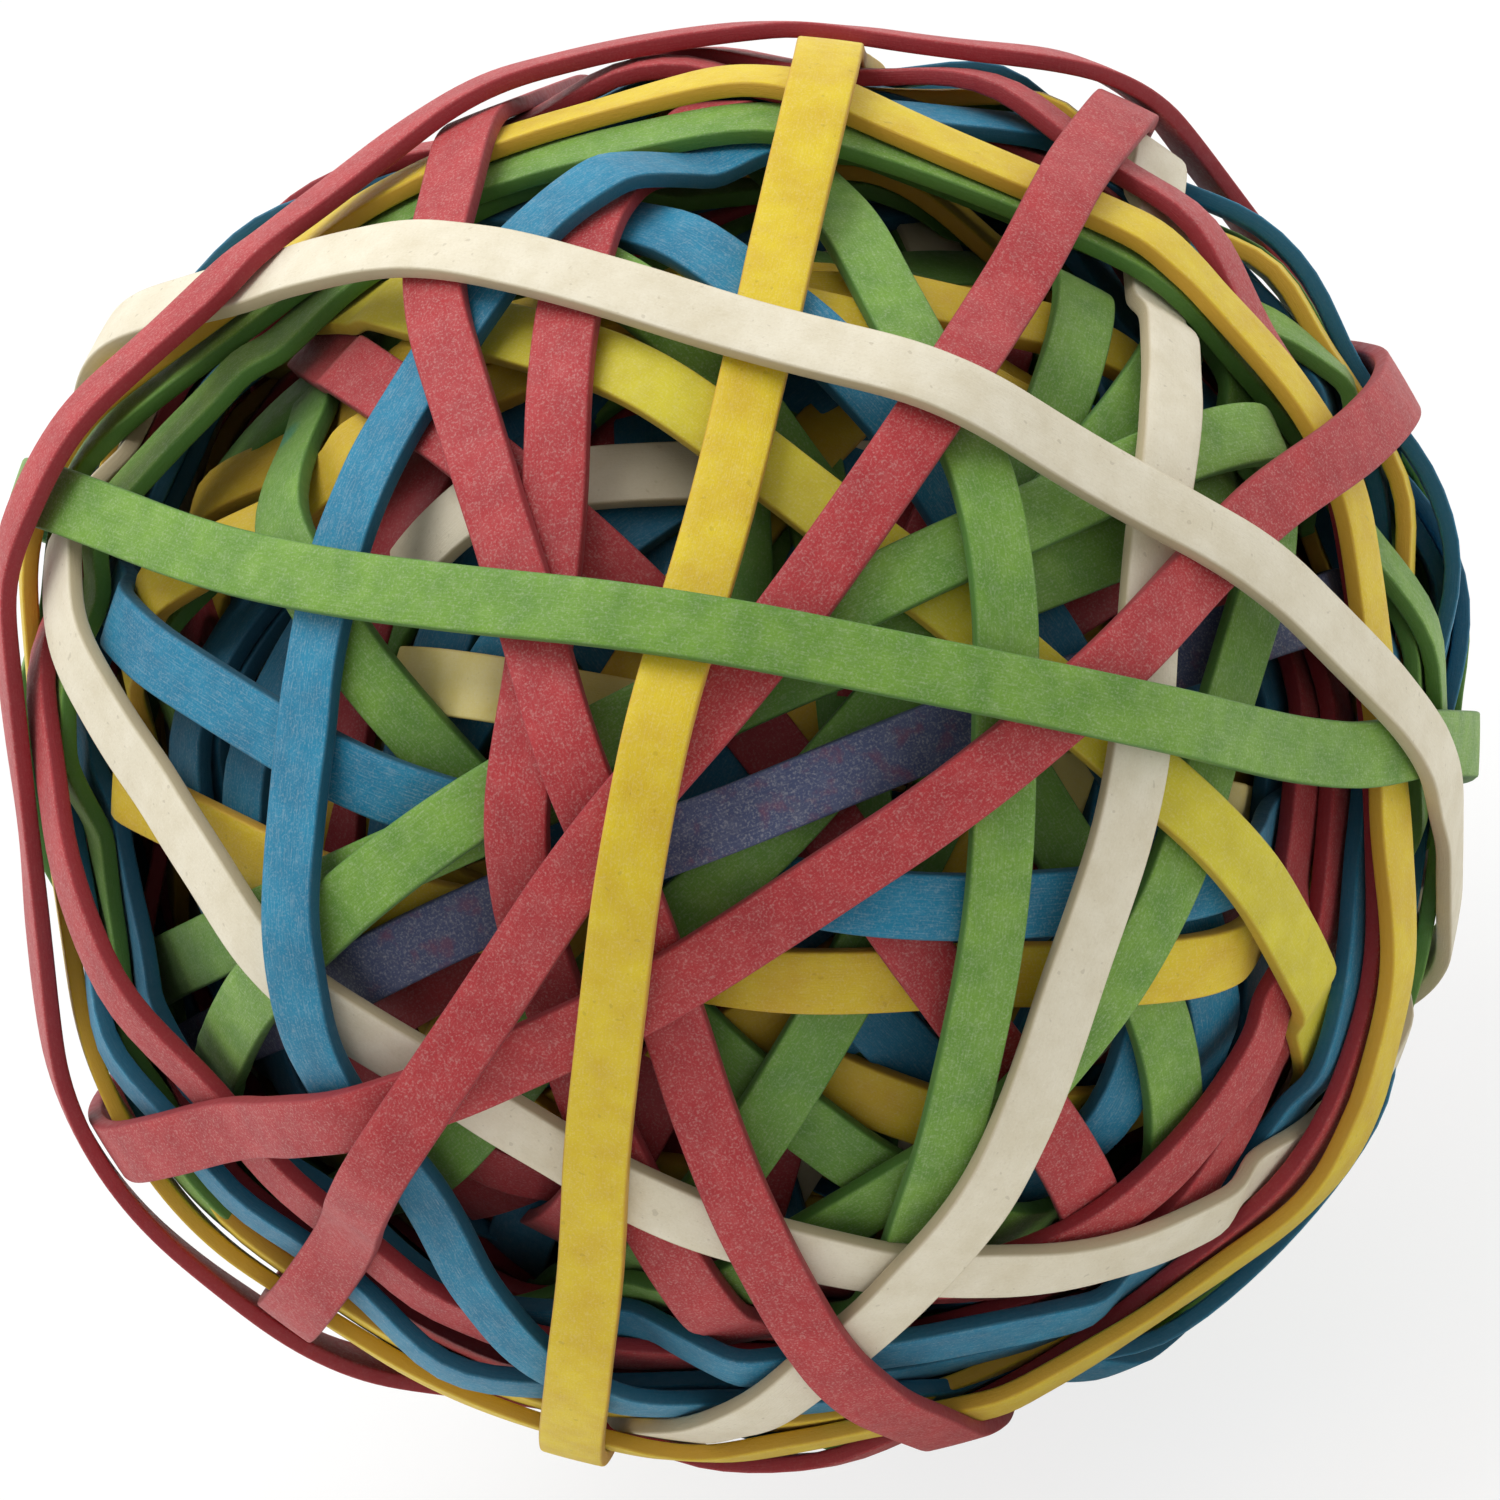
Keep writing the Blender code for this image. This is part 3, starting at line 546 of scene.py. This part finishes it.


# Talc-dusted calendered rubber: a mottled face colour, faint fibres along the strip, a fine pale
# dust, a few dark flecks, a cut side darker partly of itself and partly by painted shade, and painted shade
# that darkens the bands deeper in the ball.
def rubberMaterial(colour):
    look = rubberLooks[colour]
    material = bpy.data.materials.new("talc_dusted_rubber_" + colour)
    material.use_nodes = True
    tree = material.node_tree
    shader = tree.nodes["Principled BSDF"]
    place = addNode(tree, "ShaderNodeTexCoord").outputs["Object"]
    strip = addNode(tree, "ShaderNodeUVMap", uv_map="strip").outputs[0]
    fibres = addNode(tree, "ShaderNodeMapping", {"Vector": strip, "Scale": (9.0, 110.0, 1.0)})
    fibres = fibres.outputs[0]
    mottle = noiseMask(tree, place, 420.0, 2.0, 0.32, 0.70)
    face = mixed(tree, mottle, linear(look["face"]), linear(look["deep"]))
    streak = noiseMask(tree, fibres, 1.0, 1.0, 0.5, 0.78, look["streak"])
    face = mixed(tree, streak, face, linear(talcTint))
    dark = noiseMask(tree, fibres, 1.7, 1.0, 0.5, 0.8, look["streak"] * 1.2)
    face = mixed(tree, dark, face, linear(look["cut"]))
    specks = noiseMask(tree, place, 8200.0, 1.0, 0.50, 0.74, look["talc"])
    face = mixed(tree, specks, face, linear(talcTint))
    pits = noiseMask(tree, place, 6100.0, 1.0, 0.52, 0.76, look["talc"] * 0.9)
    face = mixed(tree, pits, face, linear(look["cut"]))
    dust = noiseMask(tree, place, 1300.0, 2.0, 0.48, 0.76, look["talc"] * 0.22)
    face = mixed(tree, dust, face, linear(talcTint))
    if look["fleck"]:
        flecks = noiseMask(tree, place, 2900.0, 0.0, 0.79, 0.83, look["fleck"])
        face = mixed(tree, flecks, face, linear("#6B5428"))
    if colour == "purple":
        blush = noiseMask(tree, place, 800.0, 4.0, 0.54, 0.68, 0.55)
        face = mixed(tree, blush, face, linear("#7A3850"))
    if colour == "green":
        away = addNode(tree, "ShaderNodeVectorMath", {0: place, 1: tuple(ballCentre * mm)},
                       operation="SUBTRACT").outputs[0]
        away = addNode(tree, "ShaderNodeVectorMath", {0: away}, operation="NORMALIZE").outputs[0]
        near = addNode(tree, "ShaderNodeVectorMath",
                       {0: away, 1: tuple(ballTurn @ stainSettings["look"])},
                       operation="DOT_PRODUCT").outputs["Value"]
        stain = addNode(tree, "ShaderNodeMapRange",
                        {"Value": near, "From Min": stainSettings["edge"],
                         "From Max": stainSettings["middle"], "To Min": 0.0,
                         "To Max": stainSettings["most"]}).outputs[0]
        face = mixed(tree, stain, face, linear(stainSettings["tint"]))
    # The cut side painted darker: partly the cut rubber's own colour without talc, partly painted shade of
    # the side walls.
    cut = addNode(tree, "ShaderNodeAttribute", attribute_name="cutSide").outputs["Fac"]
    face = mixed(tree, addNode(tree, "ShaderNodeMath", {0: cut, 1: 0.9}, operation="MULTIPLY")
                 .outputs[0], face, linear(look["cut"]))
    # Painted shade: the colour darkened towards a dark tint the deeper the band lies in the ball.
    depth = addNode(tree, "ShaderNodeAttribute", attribute_name="depth").outputs["Fac"]
    paintedShade = addNode(tree, "ShaderNodeMath", {0: depth, 1: 0.6}, operation="MULTIPLY").outputs[0]
    face = mixed(tree, paintedShade, face, linear(paintedShadeTint[colour]))
    tree.links.new(face, shader.inputs["Base Color"])
    rough = noiseMask(tree, place, 2600.0, 0.0, 0.3, 0.7, 0.14)
    rough = addNode(tree, "ShaderNodeMath", {0: rough, 1: 0.56}, operation="ADD").outputs[0]
    tree.links.new(rough, shader.inputs["Roughness"])
    shader.inputs["IOR"].default_value = 1.42
    shader.inputs["Sheen Weight"].default_value = 0.06
    shader.inputs["Sheen Roughness"].default_value = 0.5
    grain = noiseMask(tree, place, 6800.0, 1.0, 0.2, 0.8)
    ribs = noiseMask(tree, fibres, 1.4, 1.0, 0.2, 0.8)
    height = addNode(tree, "ShaderNodeMath", {0: grain, 1: ribs}, operation="ADD").outputs[0]
    bump = addNode(tree, "ShaderNodeBump", {"Height": height, "Strength": 0.3,
                                            "Distance": 0.00003})
    tree.links.new(bump.outputs[0], shader.inputs["Normal"])
    return material


rubbers = {colour: rubberMaterial(colour) for colour in rubberLooks}
print("materials made")

strips = {name: stripOfNode(name) for name in windingOrder}
deep = [(later, stripThrough(name, colour, points)) for name, colour, later, points in deepBands]
print("routes read,", len(strips), "outer and", len(deep), "deep")

# The outer bands, wound in their order over one another.
heights = np.full(len(cells), 27.0)
tops = np.zeros(len(cells))
owner = np.full(len(cells), 99)  # the place in the winding order of the band seen in a cell
rng = np.random.default_rng(11)
prints = {}
for name in windingOrder:
    strip = strips[name]
    layOuter(strip, heights)
    layTwist(strip, heights, rng)
    where, outer, inner = footprint(strip)
    np.maximum.at(heights, where, outer)
    prints[name] = (where, inner)
    owner[where[outer > tops[where]]] = windingOrder.index(name)
    tops[where] = np.maximum(tops[where], outer)
off = np.array([strips[name]["off"] for name in windingOrder])
print("outer bands laid, off the solids' radius by", np.percentile(off, (2, 50, 98)).round(2))

powers = [(i, j, k) for i in range(5) for j in range(5) for k in range(5) if i + j + k <= 4]
some = np.flatnonzero(tops > 0)[::23]
terms = np.stack([np.prod(cells[some] ** power, axis=1) for power in powers], axis=1)
trust = np.ones(len(some))
for _ in range(12):
    fit = np.linalg.lstsq(terms * trust[:, None], tops[some] * trust, rcond=None)[0]
    trust = np.where(tops[some] > terms @ fit, 0.9, 0.3)


# The level that the outer bands' tops come up to, as the polynomial gives it in each direction.
def levelAt(looks):
    total = np.zeros(looks.shape[:-1])
    for power, share in zip(powers, fit):
        total += share * np.prod(looks ** power, axis=-1)
    return total


# The same near the limb, where the ball's outline is: brought up to one radius.
def rimLevelAt(looks):
    found = levelAt(looks)
    near = np.exp(-0.5 * ((looks[..., 1] - 0.08) / 0.30) ** 2)
    return found + near * np.clip(rimRadius - found, 0.0, 2.6)


rimRadius = 35.6
level = rimLevelAt(cells)
print("room measured, tops", np.percentile(tops[tops > 0], (5, 50, 95)).round(1),
      "level", np.percentile(level, (5, 50, 95)).round(1))

# The lowest underside of a band and of all that are wound after it, for each outer band in turn.
ceilings = {}
ceiling = level - 0.1
for name in reversed(windingOrder):
    ceiling = ceiling.copy()
    np.minimum.at(ceiling, prints[name][0], prints[name][1])
    ceilings[name] = ceiling


# Lowers the ceilings of an outer band and of all that are wound before it to a band's underside.
def lowerCeilings(name, where, inner):
    for earlier in windingOrder[:windingOrder.index(name) + 1]:
        np.minimum.at(ceilings[earlier], where, inner)


# Hangs a band before an outer one, and lowers the ceiling of all that is wound before it.
def hangBefore(strip, name, rise):
    hangUnder(strip, ceilings[name], rise)
    where, outer, inner = footprint(strip)
    lowerCeilings(name, where, inner)
    if strip["traced"]:
        owner[where[outer > tops[where]]] = windingOrder.index(name)
        np.minimum.at(pressing, where, inner)
    tops[where] = np.maximum(tops[where], outer)


# Of many trial routes, the one that runs where the ball is thinnest. Each is aimed at a place drawn
# with a chance that grows with what is missing there: its pole is turned at right angles to it.
def thinnestRoute(name, colour, settings, missing):
    best, bestShare = None, -1.0
    chance = np.cumsum(np.clip(missing, 0.0, None))
    draws = rng.uniform(0, chance[-1], settings["tries"])
    for aim in cells[np.searchsorted(chance, draws)]:
        pole = rng.normal(size=3) * settings["poleSpread"] + settings["pole"]
        pole -= settings["aimed"] * (pole @ aim) * aim
        pole /= np.linalg.norm(pole)
        latitude = rng.uniform(*settings["latitude"]) + wobble(rng, 2, 0.03)
        trial = newStrip(name, colour, axesOf(pole), latitude)
        looks = lookAt(trial["axes"], turns[::4], latitude[::4])
        if looks[:, 1].min() < -settings["furthestIn"]:
            continue
        share = missing[cellOf(looks)].mean()
        if best is None or share > bestShare:
            best, bestShare = trial, share
    return best


# The bands that show in the gaps, latest first, with bands along the limb hung among them: those
# run round the view's axis, and none further in than the limb itself.
limbSettings = {"tries": 220, "pole": (0.0, 1.0, 0.0), "poleSpread": (0.16, 0.0, 0.16),
                "latitude": (-0.25, 0.25), "furthestIn": 0.34, "near": 0.16, "aimed": 0.0,
                "before": (("band_white_right_arch", 5), ("band_green_upper_rim", 4),
                           ("band_green_upright", 3), ("band_green_left_rise", 3),
                           ("band_red_right_low", 2)),
                "colours": ("blue", "yellow", "green", "green", "blue", "red", "white", "yellow",
                            "red", "green", "blue", "yellow", "red", "green", "blue", "green",
                            "yellow")}
pressing = np.full(len(cells), 99.0)  # the lowest underside of the deep bands so far
for name in reversed(windingOrder):
    strip = strips[name]
    pressUnder(strip, pressing, riseOf["pressed"])
    where, outer, inner = footprint(strip)
    lowerCeilings(name, where, inner)
    undersides = np.full(len(cells), 99.0)
    undersides[prints[name][0]] = prints[name][1]
    lowered = inner < undersides[where] - 0.05
    np.minimum.at(pressing, where[lowered], inner[lowered])
    for later, strip in reversed(deep):
        if later == name:
            hangBefore(strip, name, riseOf["deep"])
limb = []
for name, count in limbSettings["before"]:
    for _ in range(count):
        colour = limbSettings["colours"][len(limb)]
        missing = np.clip(level - 0.1 - tops, 0.0, 4.0) ** 2
        missing *= np.exp(-0.5 * ((cells[:, 1] - 0.03) / limbSettings["near"]) ** 2)
        strip = thinnestRoute("band_limb_%d_%s" % (len(limb) + 1, colour), colour, limbSettings,
                              missing)
        hangBefore(strip, name, riseOf["limb"])
        limb.append((name, strip))
print("deep and limb bands hung,", len(limb), "along the limb")

# The fill: bands of any direction where the gaps are deepest, each hung under the others. Some go
# between the outer bands, where they hide nothing that the photo shows.
fillSettings = {"between": ("band_yellow_lower_cross", "band_green_left_limb",
                            "band_yellow_upper_girdle"),
                "each": 8, "under": 22, "tries": 90, "pole": (0.0, 0.0, 0.0), "poleSpread": 1.0,
                "latitude": (-0.03, 0.03), "furthestIn": 2.0, "hiding": 70.0, "aimed": 1.0,
                "colours": ("red", "blue", "green", "yellow", "blue", "red", "green", "white",
                            "red", "blue", "yellow", "green")}
fill = []
places = [name for name in fillSettings["between"] for _ in range(fillSettings["each"])]
for name in places + [windingOrder[0]] * fillSettings["under"]:
    colour = fillSettings["colours"][len(fill) % len(fillSettings["colours"])]
    worth = np.clip(level - 0.5 - tops, 0.0, 6.0) ** 2
    hides = (owner < windingOrder.index(name)) & (cells[:, 1] < 0.0)
    strip = thinnestRoute("", colour, fillSettings, worth - fillSettings["hiding"] * hides)
    hangBefore(strip, name, riseOf["fill"])
    fill.append(strip)

# The bed that still shows between them: each band a little lower than the one before it.
bedSettings = {"count": 46, "sunk": 7.0, "step": 0.06}
for layer in range(bedSettings["count"]):
    colour = fillSettings["colours"][len(fill) % len(fillSettings["colours"])]
    worth = np.clip(level - 3.0 - tops, 0.0, 6.0) ** 2
    strip = thinnestRoute("", colour, fillSettings, worth)
    looks = lookAt(strip["axes"], turns, strip["latitude"])
    strip["radius"] = levelAt(looks) - bedSettings["sunk"] - layer * bedSettings["step"]
    where, outer, inner = footprint(strip)
    tops[where] = np.maximum(tops[where], outer)
    fill.append(strip)
print("fill hung,", len(fill), "bands, gaps", np.percentile(level - tops, (50, 90, 99)).round(1))

fineSection = sectionOf(6, 1)
plainSection = sectionOf(3, 0)
seed = 0
for name in windingOrder:
    seed += 1
    strip = strips[name]
    piece = pieceOf("rubber_" + name, [sweptStrip(strip, fineSection, 1, rng)], fineSection,
                    rubbers[strip["colour"]], seed)
    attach(piece, "root")
    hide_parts(name)
for later, strip in deep + limb:
    seed += 1
    piece = pieceOf("rubber_" + strip["name"], [sweptStrip(strip, fineSection, 2, rng)],
                    fineSection, rubbers[strip["colour"]], seed)
    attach(piece, "root")
    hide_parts("inner_windings")
for colour in dict.fromkeys(fillSettings["colours"]):
    seed += 1
    shells = [sweptStrip(strip, plainSection, 2, rng) for strip in fill
              if strip["colour"] == colour]
    piece = pieceOf("inner_bands_" + colour, shells, plainSection, rubbers[colour], seed)
    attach(piece, "root")
    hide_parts("inner_windings")
triangles = sum(len(p.data.polygons) * 2 for p in bpy.data.objects
                if p.type == "MESH" and p.name.startswith(("rubber_", "inner_bands")))
print("pieces made,", triangles, "triangles")


# Paper sweep under and behind the ball, white to the camera, pale to everything else.
def stagePaper():
    material = bpy.data.materials.new("white_seamless_paper")
    material.use_nodes = True
    tree = material.node_tree
    shader = tree.nodes["Principled BSDF"]
    place = addNode(tree, "ShaderNodeTexCoord").outputs["Object"]
    tooth = noiseMask(tree, place, 300.0, 3.0, 0.3, 0.7)
    shade = mixed(tree, tooth, linear("#F4F4F2"), linear("#F7F7F5"))
    tree.links.new(shade, shader.inputs["Base Color"])
    shader.inputs["Roughness"].default_value = 0.9
    path = addNode(tree, "ShaderNodeLightPath")
    seen = addNode(tree, "ShaderNodeMath", {0: path.outputs["Is Camera Ray"], 1: 0.8},
                   operation="MULTIPLY").outputs[0]
    white = addNode(tree, "ShaderNodeEmission", {"Color": (1, 1, 1, 1), "Strength": 1.0})
    blend = addNode(tree, "ShaderNodeMixShader", {0: seen, 1: shader.outputs[0],
                                                  2: white.outputs[0]})
    tree.links.new(blend.outputs[0], tree.nodes["Material Output"].inputs["Surface"])
    bpy.ops.mesh.primitive_grid_add(x_subdivisions=8, y_subdivisions=8, size=24.0,
                                    location=(0, 0, 0))
    floor = bpy.context.object
    floor.name = "paper_floor"
    floor.data.materials.append(material)


stagePaper()


# Soft white light from all round, weaker from where the camera is, as in a light tent.
def lightTent(towardsCamera):
    world = bpy.data.worlds.new("light_tent")
    bpy.context.scene.world = world
    world.use_nodes = True
    tree = world.node_tree
    shader = tree.nodes["Background"]
    place = addNode(tree, "ShaderNodeTexCoord").outputs["Generated"]
    facing = addNode(tree, "ShaderNodeVectorMath", {0: place, 1: tuple(towardsCamera)},
                     operation="DOT_PRODUCT").outputs["Value"]
    strength = addNode(tree, "ShaderNodeMapRange", {"Value": facing, "From Min": -0.2,
                                                    "From Max": 1.0, "To Min": 1.16,
                                                    "To Max": 0.44}).outputs[0]
    path = addNode(tree, "ShaderNodeLightPath")
    strength = addNode(tree, "ShaderNodeMix", {0: path.outputs["Is Camera Ray"], 2: strength,
                                               3: 1.0}, data_type="FLOAT").outputs[0]
    tree.links.new(strength, shader.inputs["Strength"])
    shader.inputs["Color"].default_value = (1, 1, 1, 1)


def addLamp(name, place, target, size, power):
    data = bpy.data.lights.new(name, "AREA")
    data.shape = "SQUARE"
    data.size = size
    data.energy = power
    lamp = bpy.data.objects.new(name, data)
    bpy.context.scene.collection.objects.link(lamp)
    lamp.location = place
    lamp.rotation_euler = (Vector(target) - Vector(place)).to_track_quat("-Z", "Y").to_euler()


centre = Vector(ballCentre) * mm
forward = Vector(ballTurn @ np.array((0.0, 1.0, 0.0)))
right = Vector(ballTurn @ np.array((1.0, 0.0, 0.0)))
upward = Vector(ballTurn @ np.array((0.0, 0.0, 1.0)))
lightTent(-forward)
addLamp("top_left_softbox", centre - right * 0.35 + upward * 0.5 - forward * 0.25, centre, 0.4, 2.4)

# The camera is far off, as the photograph shows almost no perspective.
cameraSettings = {"distance": 2.5, "pixel": 1 / 20.67, "aside": -8.0, "below": 9.0}
camera = bpy.data.cameras.new("photo_camera")
camera.sensor_width = 36.0
camera.lens = 36.0 * cameraSettings["distance"] / (1500 * cameraSettings["pixel"] * mm)
camera.clip_end = 60.0
eye = bpy.data.objects.new("photo_camera", camera)
bpy.context.scene.collection.objects.link(eye)
target = (centre + right * cameraSettings["aside"] * cameraSettings["pixel"] * mm
          - upward * cameraSettings["below"] * cameraSettings["pixel"] * mm)
eye.matrix_world = Matrix.Translation(target - forward * cameraSettings["distance"]) @ Matrix(
    (right, upward, -forward)).transposed().to_4x4()
bpy.context.scene.camera = eye
bpy.context.scene.view_settings.view_transform = "Standard"
